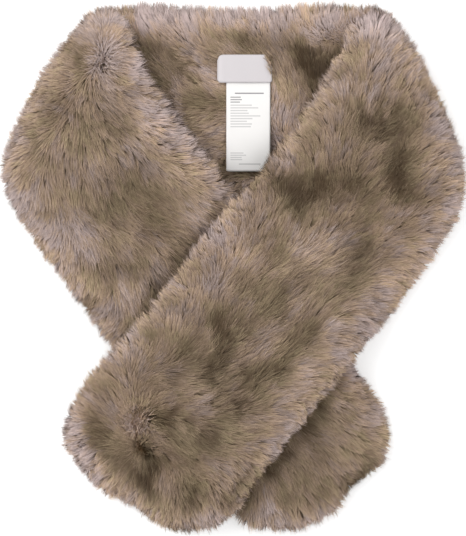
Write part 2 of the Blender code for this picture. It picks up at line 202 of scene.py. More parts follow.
UNDER_TRIMS = (
    (-158, 134, 25, -0.22), (-122, -14, 16, 0.1), (84, -186, 16, 0.1), (104, -84, 12, -0.36),
    (100, -182, 14, 0.42), (-50, 124, 14, 0.2), (-60, 142, 12, 0.1), (-160, 28, 18, -0.12),
    (10, -200, 14, 0.45), (-106, 177, 8, 0.35),
)
OVER_TRIMS = (
    (160, 136, 25, -0.22), (-112, -96, 16, 0.14), (-6, -190, 11, -0.16), (6, -176, 11, -0.34),
    (19, -162, 11, -0.36), (32, -146, 11, -0.36), (45, -131, 11, -0.36), (58, -114, 11, -0.34),
    (71, -98, 11, -0.3), (84, -81, 11, -0.24), (-122, -160, 14, -0.3), (-29, -204, 18, -0.14),
    (128, 206, 12, 0.12), (104, -62, 12, -0.34), (142, -12, 18, -0.15), (92, 172, 12, -0.34),
    (24, 68, 13, -0.28),
)

# Each stretch: how it lies and on what, the cut of its backing as a flat strip, how many
# millimetres inside the solid's rim its backing's rim lies, and how its pile lies.
Stretch = namedtuple("Stretch", "node held rests_on flat inset strokes patches trims")
BACK_PILE = (BACK_STROKES, BACK_PATCHES, BACK_TRIMS)
UNDER_PILE = (UNDER_STROKES, UNDER_PATCHES, UNDER_TRIMS)
OVER_PILE = (OVER_STROKES, OVER_PATCHES, OVER_TRIMS)
STRETCHES = (
    Stretch("back_stretch", "laid", ["floor"], (0.27, 0.30), 8.0, *BACK_PILE),
    Stretch("under_front", "folded", ["back_backing"], (0.27, 0.34), 10.0, *UNDER_PILE),
    Stretch("over_front", "folded", ["under_backing"], (0.27, 0.38), 10.0, *OVER_PILE),
)

# The backing cloth inside its solid.
RIM_SHARES = (0.0, 0.33, 0.67)  # the places along each edge of the rim that are measured to
RIM_REACH = 30 * MM  # how far in from the rim that inset has faded out
TOP_SINK = 0.33  # how deep the backing's upper face lies, as a share of the thickness
UNDER_LIFT = 0.10  # how high its underside lies, likewise
SHIFT_ROUNDS = 3  # how gently the inset changes from corner to corner

# How the pile lies.
STROKE_BLUR = 11 * MM  # how softly one stroke of the comb turns into the next
AGREEMENT = 1.2  # how far strokes may disagree before the pile stands up
SPLAY_REACH = 16 * MM  # how far in from a rim the pile turns outwards
SPLAY = 0.9  # how strongly it does so on the rim itself
NORMAL_ROUNDS = 2  # how much the cloth's own bumps are evened out for the pile's direction
HOLLOW_ROUNDS = 12  # how wide the surroundings are that a hollow is measured against
HOLLOW_DEPTH = 1.2 * MM  # the depth that counts as a full hollow
PARTING = 8 * MM  # how strongly the pile parts over a hollow
PARTING_MOST = 0.45  # the most that it does so
PARTING_ROUNDS = 2  # how gently it does so
HOLLOW_PAINTED_SHADE = -0.28  # painted shade: how much darker the pile's colour is made in a full hollow
RIM_PAINTED_LIGHT = 0.21  # painted light: how much paler its colour is made on a rim, as if lit there
LOOSE_COVER = 4.0  # how much more pile grows where the comb leaves it standing
STAND_TINT = 0.25  # how much paler it looks where it stands up and shows its tips
PARTED_SHEAR = 0.5  # how much shorter it looks where it parts, for each unit of shade
RIM_SHEAR = 0.46  # how much shorter it is on a rim
OVERHANG = 7 * MM  # how far from its root the part of a combed hair that shows lies
STAND = 0.70  # how high the pile may stand, as a share of its length
CURL_OVER = 0.25  # how much less steep a hair is than its root
LEAST_STEEP = 0.1  # the least steepness that is reckoned with
LEAST_REACH = 0.6  # the least share of its length that standing pile keeps
UNDERSIDE_COVER = 0.10  # how much of the pile is left where the wrap lies on it
GROUND_GAP = 0.4 * MM  # between the lowest hair and the table

# How much of the air round a place is open, tried by rays out of the cloth. A ray that
# points down is shut where it would meet the table soon.
RAY_COUNT = 48  # over a whole sphere, of which those that leave the cloth are tried
RAY_LENGTH = 120 * MM
RAY_RISE = 0.1  # the least sine of the angle between a ray and the cloth
TABLE_NEAR = 50 * MM  # how soon that is, along the ray
OPEN_SHARES = (0.08, 0.22)  # the open shares at which pile starts to grow and is full

# The pile's coats. The widths are a strand's, at equal steps between its two points, as
# shares of its half width. Densities are per square metre. The leans are how far its root
# and its tip lean over, as the tangent of the angle. The pulls are how far a strand is
# drawn to the middle of its tuft, and the tuft to the middle of its lock.
Coat = namedtuple(
    "Coat",
    "name widths density half_width root_lean tip_lean droop tuft_pull lock_pull stray seed",
)
COATS = (
    Coat("underfur", (1.0,), 0.88e6, 0.38 * MM, 0.4, 1.6, 0.03, 0.08, 0.10, 0.6, 3),
    Coat("guard_hair", (1.0,), 0.92e6, 0.23 * MM, 0.5, 2.2, 0.05, 0.26, 0.30, 0.45, 4),
    Coat("long_hair", (1.0, 0.8), 0.20e6, 0.22 * MM, 0.55, 2.4, 0.06, 0.27, 0.30, 0.6, 5),
)

# How strands differ. Each value is a base and a sum of sources, each times its gain. A
# strand, its tuft and its lock each draw three numbers from 0 to 1, named X, Y and Z. The
# hue runs from olive at 0 through reddish to mauve at 1. The tint of a place holds painted
# shade and painted light, and moves the hue towards mauve where it is above zero and towards
# olive where it is below. The tinting is how much of the tint of its place a strand takes on.
Varied = namedtuple("Varied", "name base gains")
VARIED = (
    Varied("length", 0.66, {"own X": 0.35, "tuft X": 0.25}),
    Varied("width", 0.7, {"own Y": 0.6}),
    Varied("hue", -0.87, {"patches": 1.8, "tuft Y": 0.5, "own Z": 0.5, "tint": 0.8}),
    Varied("pale", 1.0, {"own Z": -0.34, "tuft Z": -0.10, "lock Z": -0.18}),
    Varied("tinting", 0.1, {"tuft X": 0.9, "own X": 0.9}),
)
CROWDING = 2.0  # how many tufts are tried for on a square as wide as their least distance
SWIRL = 1.3  # how far the pile strays from the way it is combed, in swirls and ruffles
WAVES = ((50 * MM, 0.8), (18 * MM, 0.5))  # the size and strength of swirls and of ruffles
TUFT_STRAY = 0.6  # how far a whole tuft strays, as a share of its coat's stray
OWN_STRAY = (-2.3, 2.8)  # how far a strand does: its gain where combed firmly, and its base
GATHERS = (2.5, -1.4)  # how much of the pulls is at work, likewise, held between 0 and 1
EARLY_PULL = 0.6  # the part of its tuft's pull that a strand follows evenly, and not late
PATCH_SIZE = 25 * MM  # of the pile's patches of one hue
ROLL = (0.8, 0.8, 0.8)  # how far a strand may roll from facing outwards
MIDDLE = (0.5, 0.5, 0.5)  # of a draw or a noise from 0 to 1
TIP_HUE = 0.4  # how much nearer to mauve a strand's tip is than its root
HUE_SHIFT = 0.25  # how much nearer to olive all of it is
SIDE_HUE = 0.006  # how far its sides are from its middle, so that it has width on the map
MAP_MARGIN = 0.02  # how much of its UV map is left free on each side
SMOOTH_NORMAL = 3.0  # how much the cloth's direction counts over a strand's own in its shading
TIP_POWER = 1.35  # how late along the strand its root colour turns into its tip colour
FUZZ_SIZE = 2 * MM  # of the brushed wool on the backing
FUZZ_DARK = 0.6  # its darkest, as a share of its colour

# The studio. A lamp has its name, its place, its width and its power in watts, and shines
# on the middle of the floor.
FLOOR_SIZE = 6.0
FLOOR_GLOW = 0.3
SKY_STRENGTH = 0.85
LIGHTS = (
    ("key", (-1.3, 0.9, 1.9), 2.2, 36.0),
    ("fill", (1.2, -0.6, 1.6), 1.5, 8.0),
)
CAMERA_HEIGHT = 3.0
FUR_PLANE = 0.030  # the height at which the view has its stated size
VIEW_HEIGHT = 0.4395  # how much of that plane it shows from top to bottom
VIEW_MIDDLE = 0.00065  # the y of its middle

# The labels. But for its flat size, a label's lengths and places are millimetres, from its
# top left corner: the radii of its left and its right corners, top before bottom, where
# fur starts to cover its right end and how much further left for each millimetre down,
# its bends, which are soft troughs right across it at an angle in degrees, and its print,
# which is blocks of plain bars. A block's bars have ragged right ends.
Bend = namedtuple("Bend", "x y angle width depth")
Print = namedtuple("Print", "left top pitch lines right ragged ink")
Label = namedtuple("Label", "name node flat radii covered_end covered_slant bends print")
NECK_BENDS = (Bend(0, 12, 88, 2.5, 0.9), Bend(16, 12, 80, 7, -0.2), Bend(45, 12, 68, 4, 0.5))
CARE_BENDS = (Bend(30, 18, 58, 5, 0.25), Bend(10, 60, -8, 9, 0.2), Bend(36, 76, 45, 6, 0.5))
CARE_PRINT = (
    Print(7.0, 11.6, 2.4, 1, 31.0, 0.5, 0.75),
    Print(3.4, 14.9, 2.0, 3, 13.0, 2.0, 0.7),
    Print(3.4, 21.4, 2.2, 9, 28.0, 12.0, 0.35),
    Print(3.4, 60.6, 1.8, 4, 17.0, 5.0, 0.35),
    Print(10.4, 69.5, 2.4, 1, 28.5, 0.5, 0.35),
)
NECK_FORM = ((0.045, 0.023), (5.0, 2.5, 7.0, 1.5), 40.0, 0.30, NECK_BENDS)
CARE_FORM = ((0.036, 0.076), (0.5, 0.5, 0.5, 0.5), 60.0, 0.0, CARE_BENDS)
LABELS = (
    Label("neck_label_cloth", "neck_label", *NECK_FORM, ()),
    Label("care_label_cloth", "care_label", *CARE_FORM, CARE_PRINT),
)
LABEL_CELL = 1.5 * MM  # the spacing of the corners of a label's cloth
LABEL_EDGE = 0.05 * MM  # how far inside its solid's outline its height is measured
LABEL_GAP = 0.3 * MM  # between a label and the fur over or under it
CLEAR_OVER = 5 * MM  # how far above a label a strand grows that lies over it
OVER_LAYERS = 9  # how many layers the fur over a label lies in
BAR_SHARE = 0.45  # how much of its pitch a printed bar takes up
SATIN_RIB = 0.7  # millimetres from rib to rib
WAVE_PERIOD = 0.314  # from band to band in a wave texture of scale 1


def linear(code):
    """An sRGB hex colour as linear red, green, blue and alpha."""
    parts = [int(code[start : start + 2], 16) / 255 for start in (0, 2, 4)]
    return [p / 12.92 if p <= 0.04045 else ((p + 0.055) / 1.055) ** 2.4 for p in parts] + [1.0]


def colour(name, description, code):
    shade = linear(code)
    return bpy.props.FloatVectorProperty(
        name=name, description=description, default=shade, subtype="COLOR", size=4, min=0.0, max=1.0
    )


def length(name, description, default):
    return bpy.props.FloatProperty(
        name=name, description=description, default=default, unit="LENGTH", min=0.0
    )


class WRAP_PG_fur(bpy.types.PropertyGroup):
    """Sizes and colours of the fur and its backing"""

    underfur_length: length(
        "Underfur Length", "Length of the short dense hair next to the backing", 15 * MM
    )
    guard_hair_length: length(
        "Guard Hair Length", "Length of the coarser hair that stands over it", 20 * MM
    )
    long_hair_length: length(
        "Long Hair Length", "Length of the sparse finest hair, which is on top", 23 * MM
    )
    tuft_size: length(
        "Tuft Size", "Least distance between the tufts that hair gathers in", 2.8 * MM
    )
    lock_size: length(
        "Lock Size", "Least distance between the locks that tufts gather in", 9 * MM
    )
    density: bpy.props.FloatProperty(
        name="Density",
        description="How much hair grows on the backing, where 1 is a full pile",
        default=1.0,
        min=0.0,
        max=1.0,
    )
    backing_thickness: length(
        "Backing Thickness", "Thickness of the knitted cloth that the hair is in", 1.5 * MM
    )
    root_colour: colour("Roots", "Colour of the hair at its root", "54422F")
    olive_colour: colour("Olive Tips", "Colour of the most olive tips", "DAC69E")
    reddish_colour: colour("Reddish Tips", "Colour of the reddish tips", "E9C9AD")
    mauve_colour: colour("Mauve Tips", "Colour of the most mauve tips", "DCC9C6")
    backing_colour: colour("Backing", "Colour of the knitted backing", "8C7A66")


class WRAP_PG_labels(bpy.types.PropertyGroup):
    """Sizes and colours of the two labels"""

    thickness: length("Label Thickness", "Thickness of the woven ribbon", 0.5 * MM)
    neck_colour: colour("Neck Label", "Colour of the neck label's satin", "C4BFC1")
    care_colour: colour("Care Label", "Colour of the care label's satin", "E5E3E1")
    ink_colour: colour("Ink", "Colour of the bars printed on the care label", "55545A")


def shown(node):
    """A node's first output that is in use."""
    return next(socket for socket in node.outputs if socket.enabled)


def plug(tree, node, links):
    """Gives a node's inputs, by their names or as a tuple in their order, a value, a
    socket, or another node's first output."""
    for key, value in links.items() if isinstance(links, dict) else enumerate(links):
        named = (s for s in node.inputs if s.enabled and s.name == key)
        socket = node.inputs[key] if isinstance(key, int) else next(named)
        if isinstance(value, bpy.types.Node):
            value = shown(value)
        if isinstance(value, bpy.types.NodeSocket):
            tree.links.new(value, socket)
        else:
            socket.default_value = value


def put(tree, kind, links=(), operation=None, **settings):
    """Adds a node to a tree, with its links, its operation if it has one, and its other
    settings."""
    node = tree.nodes.new(kind)
    if operation:
        node.operation = operation
    for name, value in settings.items():
        setattr(node, name, value)
    plug(tree, node, links)
    return node


def unit(vectors):
    return vectors / np.maximum(np.linalg.norm(vectors, axis=-1, keepdims=True), 1e-9)


def at_most_one(vectors):
    """The vectors, with the longer ones brought down to length 1."""
    return vectors / np.maximum(np.linalg.norm(vectors, axis=-1, keepdims=True), 1.0)


def smooth_step(low, high, values):
    share = np.clip((values - low) / (high - low), 0, 1)
    return share * share * (3 - 2 * share)


def link(name, mesh):
    piece = bpy.data.objects.new(name, mesh)
    bpy.context.scene.collection.objects.link(piece)
    return piece


def plain(piece):
    """The piece's mesh with its modifiers carried out, in a new object of that name."""
    evaluated = piece.evaluated_get(bpy.context.evaluated_depsgraph_get())
    mesh = bpy.data.meshes.new_from_object(evaluated)
    name = piece.name
    bpy.data.objects.remove(piece)
    return link(name, mesh)


def as_cloth(piece, thickness):
    """The piece as plain cloth of that thickness, which its mesh is the outside of."""
    wall = piece.modifiers.new("Cloth", "SOLIDIFY")
    wall.thickness = thickness
    wall.offset = -1.0
    return plain(piece)


# -------- the backing cloth


class Surface:
    """The corners, edges and rim of a closed mesh, as arrays. The rim is where its upper
    side meets its underside."""

    def __init__(self, model):
        model.normal_update()
        model.verts.index_update()
        self.points = np.array([v.co for v in model.verts])
        self.normals = np.array([v.normal for v in model.verts])
        self.edges = np.array([[v.index for v in e.verts] for e in model.edges])
        rim = [e for e in model.edges if turns_over(e)]
        self.rim = {v.index for e in rim for v in e.verts}
        self.rim_tree = KDTree(len(RIM_SHARES) * len(rim))
        for edge in rim:
            start, end = (v.co for v in edge.verts)
            for share in RIM_SHARES:
                place = start.lerp(end, share)
                self.rim_tree.insert((place.x, place.y, 0), edge.index)
        self.rim_tree.balance()

    def from_rim(self):
        """(direction in the plan from the nearest place on the rim, distance) for each
        corner. On the rim itself the direction is straight in."""
        inward = -unit(self.normals * (1, 1, 0))
        distance = np.zeros(len(self.points))
        for index, point in enumerate(self.points):
            if index in self.rim:
                continue
            near = self.rim_tree.find((point[0], point[1], 0))[0]
            away = np.array((point[0] - near.x, point[1] - near.y, 0))
            distance[index] = np.linalg.norm(away)
            if distance[index] > SAME_PLACE:
                inward[index] = away / distance[index]
        return inward, distance

    def gathered(self, at_one, at_other):
        """The mean at each corner of a value that each of its edges brings to it."""
        one, other = self.edges.T
        count = np.bincount(self.edges.ravel(), minlength=len(self.points))[:, None]
        total = np.zeros((len(self.points), at_one.shape[1]))
        np.add.at(total, one, at_one)
        np.add.at(total, other, at_other)
        return total / count

    def smoothed(self, values, rounds):
        """Values at the corners, each evened out with those of its neighbours."""
        one, other = self.edges.T
        for _ in range(rounds):
            values = (values + self.gathered(values[other], values[one])) / 2
        return values

    def slope(self, values):
        """The direction and steepness in which one value at each corner grows."""
        one, other = self.edges.T
        step = self.points[other] - self.points[one]
        rise = (values[other] - values[one])[:, None] * step / (step**2).sum(1)[:, None]
        return 2 * self.gathered(rise, rise)


def turns_over(edge):
    """Whether an edge has a face that looks up on one side, and down on the other."""
    one, other = (face.normal.z > 0 for face in edge.link_faces)
    return one != other


def merged_solid(node):
    model = bmesh.new()
    model.from_mesh(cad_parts[node].data)
    bmesh.ops.remove_doubles(model, verts=model.verts, dist=SAME_PLACE)
    return model


def union_tree(models):
    """One search tree of several meshes' faces."""
    points, faces = [], []
    for model in models:
        first = len(points)
        points += [v.co.copy() for v in model.verts]
        faces += [[first + v.index for v in f.verts] for f in model.faces]
    return BVHTree.FromPolygons(points, faces)


def shrink_to_backing(model, inset):
    """Moves the corners of a stretch's solid to where its backing cloth lies: inside the
    fur, which is longest on the rim and on top."""
    surface = Surface(model)
    inward, distance = surface.from_rim()
    shift = inward * (inset * MM * np.clip(1 - distance / RIM_REACH, 0, 1))[:, None]
    faces = BVHTree.FromBMesh(model)
    for index, point in enumerate(surface.points):
        if index in surface.rim:
            continue
        way = -1 if surface.normals[index, 2] > 0 else 1
        start = Vector(point) + Vector((0, 0, way * SAME_PLACE))
        across = faces.ray_cast(start, Vector((0, 0, way)))[3] or 0.0
        shift[index, 2] = way * across * (TOP_SINK if way < 0 else UNDER_LIFT)
    shift = surface.smoothed(shift, SHIFT_ROUNDS)
    for vertex, move in zip(model.verts, shift):
        vertex.co += Vector(move)
    model.normal_update()


def make_backing(name, model, material):
    """The backing cloth as a thin closed tube."""
    mesh = bpy.data.meshes.new(name)
    model.to_mesh(mesh)
    mesh.materials.append(material)
    mesh.shade_smooth()
    return as_cloth(link(name, mesh), bpy.context.scene.wrap_fur.backing_thickness)


# -------- how the pile lies


def combed(points, strokes):
    """The way in the plan in which the pile is combed at each point. It is of length 1
    where the strokes round about agree, and less where they don't."""
    rows = np.array([(*stroke, 1.0)[:4] for stroke in strokes])
    turns = np.radians(rows[:, 2])
    apart = ((points[:, None, :2] - rows[None, :, :2] * MM) ** 2).sum(2)
    weight = 1 / (apart + STROKE_BLUR**2) ** 2
    ways = np.stack([np.cos(turns), np.sin(turns), 0 * turns], 1) * rows[:, 3:]
    towards = weight @ ways
    return at_most_one(towards / weight.sum(1, keepdims=True) * AGREEMENT)


def shaded(points, patches):
    """The shade of the pile's patches at each point."""
    rows = np.array(patches)
    apart = ((points[:, None, :2] - rows[None, :, :2] * MM) ** 2).sum(2)
    return np.exp(-apart / (rows[:, 2] * MM) ** 2) @ rows[:, 3]


def ray_directions():
    """Directions spread evenly over a sphere."""
    order = np.arange(RAY_COUNT) + 0.5
    height = 1 - 2 * order / RAY_COUNT
    turn = math.pi * (1 + math.sqrt(5)) * order
    flat = np.sqrt(1 - height**2)
    return np.stack([flat * np.cos(turn), flat * np.sin(turn), height], 1)


def covered(surface, cloth):
    """How much pile grows at each corner: none between two layers of the band, and only
    a little where the wrap lies on it."""
    rays = ray_directions()
    cover = np.zeros(len(surface.points))
    for index, (point, normal) in enumerate(zip(surface.points, surface.normals)):
        ahead = rays[rays @ normal > RAY_RISE]
        start = Vector(point + normal * MM)
        clear = open_air = 0
        for ray in ahead:
            if cloth.ray_cast(start, Vector(ray), RAY_LENGTH)[3] is not None:
                continue
            clear += 1
            open_air += ray[2] > 0 or start.z > -ray[2] * TABLE_NEAR
        seen = smooth_step(*OPEN_SHARES, open_air / len(ahead))
        underside = UNDERSIDE_COVER * (clear > len(ahead) / 2)
        cover[index] = max(seen, underside)
    return cover


def make_roots(name, model, stretch, cloth):
    """A finer copy of a backing's outside, for the pile to grow on. Its attributes say
    how the pile stands and lies at each corner."""
    bmesh.ops.subdivide_edges(model, edges=model.edges, cuts=1, use_grid_fill=True)
    surface = Surface(model)
    surface.normals = unit(surface.smoothed(surface.normals, NORMAL_ROUNDS))
    inward, distance = surface.from_rim()
    edge = np.exp(-((distance / SPLAY_REACH) ** 2))
    height = surface.points[:, 2:]
    around = surface.smoothed(height, HOLLOW_ROUNDS)
    hollow = np.clip((around - height)[:, 0] / HOLLOW_DEPTH, -1, 1)

    # The way it leans: as combed, outwards at the rims, and away from the hollows.
    lean = combed(surface.points, stretch.strokes)
    lean = combed(surface.points + lean * OVERHANG, stretch.strokes)
    loose = 1 - np.linalg.norm(lean, axis=1)
    lean = lean - inward * SPLAY * edge[:, None]
    parting = surface.smoothed(surface.slope(hollow), PARTING_ROUNDS) * PARTING * (1, 1, 0)
    lean = at_most_one(lean - PARTING_MOST * at_most_one(parting / PARTING_MOST))
    stands = 1 - np.linalg.norm(lean, axis=1)
    steep = (unit(surface.normals + lean) * surface.normals).sum(1)

    # Its length, how dense it is, and how pale, with painted shade in the hollows and in the dark
    # patches, and painted light on the rims and in the pale patches.
    shade = shaded(surface.points + lean * OVERHANG, stretch.patches)
    reach = np.clip(STAND / np.maximum(steep - CURL_OVER, LEAST_STEEP), LEAST_REACH, 1.0)
    reach *= 1 - RIM_SHEAR * edge
    reach *= 1 + PARTED_SHEAR * np.minimum(shade, 0)
    reach *= 1 + shaded(surface.points, stretch.trims)
    cover = covered(surface, cloth) * (1 + LOOSE_COVER * loose**2)
    # Painted shade in the hollows, painted light on the rims, and paler where the pile stands.
    tint = HOLLOW_PAINTED_SHADE * np.maximum(hollow, 0) + RIM_PAINTED_LIGHT * edge + STAND_TINT * stands
    tint += shade

    mesh = bpy.data.meshes.new(name)
    model.to_mesh(mesh)
    for title, kind, field, values in (
        ("outward", "FLOAT_VECTOR", "vector", surface.normals),
        ("lean", "FLOAT_VECTOR", "vector", lean),
        ("reach", "FLOAT", "value", reach),
        ("cover", "FLOAT", "value", cover),
        ("tint", "FLOAT", "value", tint),
    ):
        attribute = mesh.attributes.new(title, kind, "POINT")
        attribute.data.foreach_set(field, values.astype(np.float32).ravel())
    return link(name, mesh)


# -------- the pile


FUR_INPUTS = {
    "Backing": "Geometry",
    "Strand": "Object",
    "Finish": "Material",
    "Seed": "Int",
    **dict.fromkeys(("Density", "Length", "Half Width", "Root Lean", "Tip Lean", "Droop"), "Float"),
    **dict.fromkeys(("Tuft Size", "Lock Size", "Tuft Pull", "Lock Pull", "Swirl", "Stray"), "Float"),
}

# What the fur tree reads from the backing and the strand, or writes down at a root.
NOTES = {
    **dict.fromkeys(("outward", "lean", "start", "rise", "bend", "across"), "FLOAT_VECTOR"),
    **dict.fromkeys(("cover", "reach", "tint", "hue", "pale", "side", "along"), "FLOAT"),
}


def make_strand(name, widths):
    """A flat strand that ends in a point, for the fur tree to lay out. Each corner knows
    its place along the strand and across it."""
    model = bmesh.new()
    side = model.verts.layers.float.new("side")
    along = model.verts.layers.float.new("along")
    rows = []
    steps = len(widths) + 1
    for step, width in enumerate(widths, 1):
        row = [model.verts.new((way * width * MM, step * MM, 0)) for way in (-1, 1)]
        for way, vertex in zip((-1, 1), row):
            vertex[side] = way * width
            vertex[along] = step / steps
        rows.append(row)
    root, tip = model.verts.new((0, 0, 0)), model.verts.new((0, steps * MM, 0))
    tip[along] = 1.0
    model.faces.new((root, *reversed(rows[0])))
    for (left, right), (next_left, next_right) in zip(rows, rows[1:]):
        model.faces.new((left, right, next_right, next_left))
    model.faces.new((*rows[-1], tip))
    mesh = bpy.data.meshes.new(name)
    model.to_mesh(mesh)
    model.free()
    mesh.shade_smooth()
    strand = link(name, mesh)
    strand.hide_render = True
    return strand


def make_fur_tree():
    """Grows strands on a backing. A strand starts out of the cloth, leans over the way
    the pile is combed, and bends in to the middle of its tuft, and the tuft to the
    middle of its lock."""
    tree = bpy.data.node_groups.new("Fur", "GeometryNodeTree")
    for name, kind in FUR_INPUTS.items():
        tree.interface.new_socket(name, in_out="INPUT", socket_type="NodeSocket" + kind)
    tree.interface.new_socket("Fur", in_out="OUTPUT", socket_type="NodeSocketGeometry")
    add = partial(put, tree)
    vector, number = "ShaderNodeVectorMath", "ShaderNodeMath"
    scatter, store = "GeometryNodeDistributePointsOnFaces", "GeometryNodeStoreNamedAttribute"
    given = add("NodeGroupInput").outputs
    place = add("GeometryNodeInputPosition")
    noted = {}
    for name, kind in NOTES.items():
        noted[name] = add("GeometryNodeInputNamedAttribute", {"Name": name}, data_type=kind)
    outward, lean, along = noted["outward"], noted["lean"], noted["along"]

    # The strands' roots, and the middles of the tuft and the lock that each belongs to.
    density = add(number, (given["Density"], noted["cover"]), "MULTIPLY")
    sown = {"Mesh": given["Backing"], "Density": density, "Seed": given["Seed"]}
    roots = add(scatter, sown, distribute_method="RANDOM")
    middles, draws = [place], []
    for seed, name in enumerate(("Tuft Size", "Lock Size"), 1):
        size = given[name]
        area = add(number, (size, size), "MULTIPLY")
        most = add(number, (CROWDING, area), "DIVIDE")
        sown = {"Mesh": given["Backing"], "Distance Min": size, "Density Max": most, "Seed": seed}
        gathered = add(scatter, sown, distribute_method="POISSON")
        nearest = {"Geometry": gathered, "Sample Position": middles[-1]}
        index = add("GeometryNodeSampleNearest", nearest)
        sample = {"Geometry": gathered, "Value": place, "Index": index}
        middles.append(add("GeometryNodeSampleIndex", sample, data_type="FLOAT_VECTOR"))
        draw = {"ID": index, "Seed": seed}
        draws.append(add("FunctionNodeRandomValue", draw, data_type="FLOAT_VECTOR"))
    own = add("FunctionNodeRandomValue", {"Seed": given["Seed"]}, data_type="FLOAT_VECTOR")
    tuft, lock = draws
    from_tuft = add(vector, (place, middles[1]), "SUBTRACT")
    from_lock = add(vector, (middles[1], middles[2]), "SUBTRACT")

    # The way the strand leans: as combed, with swirls and ruffles, and straying a little.
    # The less firmly it is combed, the more it strays by itself and the less it gathers.
    firm = add(vector, (lean,), "LENGTH").outputs["Value"]
    stray = add(number, (firm, *OWN_STRAY), "MULTIPLY_ADD")
    gathers = add(number, (firm, *GATHERS), "MULTIPLY_ADD", use_clamp=True)
    turns = []
    for size, share in WAVES:
        noise = {"Vector": middles[1], "Scale": 1 / size, "Detail": 1.0}
        noise = add("ShaderNodeTexNoise", noise).outputs["Color"]
        turns.append((noise, "Swirl", share))
    leaning = lean
    for source, name, share in (*turns, (tuft, "Stray", TUFT_STRAY), (own, "Stray", stray)):
        turn = add(vector, (source, MIDDLE), "SUBTRACT")
        gain = add(number, (given[name], share), "MULTIPLY")
        leaning = add(vector, (turn, gain, leaning), "MULTIPLY_ADD")
    ends = []
    for name in ("Root Lean", "Tip Lean"):
        end = add(vector, (leaning, given[name], outward), "MULTIPLY_ADD")
        ends.append(add(vector, (end,), "NORMALIZE"))
    at_root, at_tip = ends

    # What differs from strand to strand.
    noise = {"Vector": middles[1], "Scale": 1 / PATCH_SIZE, "Detail": 2.0}
    sources = {"patches": add("ShaderNodeTexNoise", noise), "tint": noted["tint"]}
    for name, draw in (("own", own), ("tuft", tuft), ("lock", lock)):
        for axis in add("ShaderNodeSeparateXYZ", (draw,)).outputs:
            sources[f"{name} {axis.name}"] = axis
    varied = {}
    for name, total, gains in VARIED:
        for source, gain in gains.items():
            total = add(number, (sources[source], gain, total), "MULTIPLY_ADD")
        varied[name] = total
    # The painted shade and painted light of its place make a strand darker or paler.
    pale = add(number, (noted["tint"], varied["tinting"], varied["pale"]), "MULTIPLY_ADD")
    reach = add(number, (varied["length"], noted["reach"]), "MULTIPLY")
    reach = add(number, (reach, given["Length"]), "MULTIPLY")
    width = add(number, (varied["width"], given["Half Width"]), "MULTIPLY")

    # Its curve: place = start + rise * t + bend * t * t, for t from root to tip.
    rise = add(vector, {"Vector": at_root, "Scale": reach}, "SCALE")
    turn = add(vector, (at_tip, at_root), "SUBTRACT")
    half = add(number, (reach, 0.5), "MULTIPLY")
    bend = add(vector, {"Vector": turn, "Scale": half}, "SCALE")
    droop = add(number, (reach, given["Droop"]), "MULTIPLY")
    sag = add("ShaderNodeCombineXYZ", {"Z": droop})
    bend = add(vector, (bend, sag), "SUBTRACT")
    for gap, pull, early in ((from_tuft, "Tuft Pull", EARLY_PULL), (from_lock, "Lock Pull", 0.0)):
        gain = add(number, (given[pull], gathers), "MULTIPLY")
        drawn = add(vector, {"Vector": gap, "Scale": gain}, "SCALE")
        first = add(vector, {"Vector": drawn, "Scale": early}, "SCALE")
        rise = add(vector, (rise, first), "SUBTRACT")
        rest = add(vector, {"Vector": drawn, "Scale": 1 - early}, "SCALE")
        bend = add(vector, (bend, rest), "SUBTRACT")

    # The way across it, which faces outwards, give or take a roll.
    chord = add(vector, (rise, bend), "ADD")
    roll = add(vector, (own, MIDDLE), "SUBTRACT")
    facing = add(vector, (roll, ROLL, outward), "MULTIPLY_ADD")
    across = add(vector, (chord, facing), "CROSS_PRODUCT")
    across = add(vector, (across,), "NORMALIZE")
    across = add(vector, {"Vector": across, "Scale": width}, "SCALE")

    # Puts a strand at each root, which notes what is worked out there.
    notes = {"start": place, "rise": rise, "bend": bend, "across": across}
    notes |= {"hue": varied["hue"], "pale": pale}
    for name, value in notes.items():
        note = {"Geometry": roots, "Name": name, "Value": value}
        roots = add(store, note, data_type=NOTES[name], domain="POINT")
    strand = add("GeometryNodeObjectInfo", {"Object": given["Strand"]}).outputs["Geometry"]
    strands = add("GeometryNodeInstanceOnPoints", {"Points": roots, "Instance": strand})
    strands = add("GeometryNodeRealizeInstances", {"Geometry": strands})

    # Lays the strands out, clear of the table, and gives them their UV map.
    path = add(vector, (noted["bend"], along, noted["rise"]), "MULTIPLY_ADD")
    path = add(vector, (path, along, noted["start"]), "MULTIPLY_ADD")
    path = add(vector, (noted["across"], noted["side"], path), "MULTIPLY_ADD")
    path = add(vector, (path, (-1, -1, GROUND_GAP)), "MAXIMUM")
    strands = add("GeometryNodeSetPosition", {"Geometry": strands, "Position": path})
    # The row is the place along the strand times its paleness, which holds painted shade and painted
    # light.
    row = add(number, (along, noted["pale"]), "MULTIPLY", use_clamp=True)
    column = add(number, (row, TIP_HUE, noted["hue"]), "MULTIPLY_ADD")
    column = add(number, (column, HUE_SHIFT), "SUBTRACT", use_clamp=True)
    inside = (1 - 2 * MAP_MARGIN, MAP_MARGIN)
    column, row = (add(number, (s, *inside), "MULTIPLY_ADD") for s in (column, row))
    column = add(number, (noted["side"], SIDE_HUE, column), "MULTIPLY_ADD")
    spot = add("ShaderNodeCombineXYZ", (column, row))
    note = {"Geometry": strands, "Name": STRAND_MAP, "Value": spot}
    strands = add(store, note, data_type="FLOAT2", domain="CORNER")
    strands = add("GeometryNodeSetMaterial", {"Geometry": strands, "Material": given["Finish"]})
    add("NodeGroupOutput", (strands,))
    return tree


